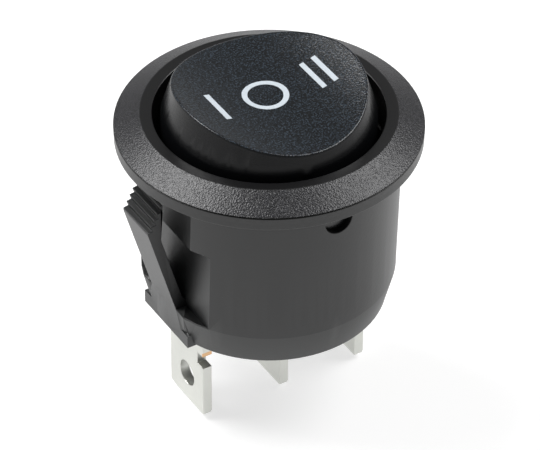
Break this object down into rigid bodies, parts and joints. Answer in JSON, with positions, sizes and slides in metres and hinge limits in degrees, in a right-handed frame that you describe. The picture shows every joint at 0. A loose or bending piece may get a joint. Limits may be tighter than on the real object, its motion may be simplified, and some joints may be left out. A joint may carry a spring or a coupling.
{
  "type": "round panel rocker switch",
  "caption": "Round snap-in changeover rocker switch with a bezel flange, two toothed latch arms, a dished rocker and three pierced blade terminals.",
  "frame": {"origin": "centre of the barrel on the underside of the flange, the plane that lies on the panel", "axes": "+Z out of the panel's front along the barrel's axis; +X across the rocker from the single-bar end to the double-bar end, along the row of terminals; +Y along the rocker's pivot"},
  "size_m": [0.023, 0.023, 0.028],
  "materials": {
    "black_nylon": "moulded, fine matt",
    "black_gloss": "moulded, satin gloss",
    "white_acetal": "moulded, smooth",
    "spring_steel": "drawn wire",
    "copper_strip": "stamped copper alloy",
    "silver_contact": "silver alloy",
    "tinned_brass": "matt tin plate on stamped brass"
  },
  "bodies": {
    "switch_base": {"housing": "black_nylon", "common_terminal": "tinned_brass", "i_side_terminal": "tinned_brass", "ii_side_terminal": "tinned_brass", "i_side_fixed_rivet": "silver_contact", "ii_side_fixed_rivet": "silver_contact"},
    "rocker_body": {"rocker": "black_gloss", "plunger_spring": "spring_steel"},
    "plunger_body": {"plunger": "white_acetal"},
    "contact_body": {"moving_contact": "copper_strip", "i_side_moving_rivet": "silver_contact", "ii_side_moving_rivet": "silver_contact"}
  },
  "joints": [
    {"name": "rocker_tilt", "type": "hinge", "parent": "switch_base", "child": "rocker_body", "pos_m": [0, 0, -0.00145], "axis": [0, 1, 0], "range_deg": [-9, 9]},
    {"name": "plunger_slide", "type": "slide", "parent": "rocker_body", "child": "plunger_body", "axis": [0, 0, 1], "range_m": [0, 0.0009], "stiffness_N_per_m": 400, "deforming": ["plunger_spring"]},
    {"name": "contact_tilt", "type": "hinge", "parent": "switch_base", "child": "contact_body", "pos_m": [0, 0, -0.01007], "axis": [0, 1, 0], "range_deg": [-9, 9]}
  ],
  "couplings": [
    {"joint": "contact_tilt", "follows": "rocker_tilt", "ratio": -1}
  ]
}
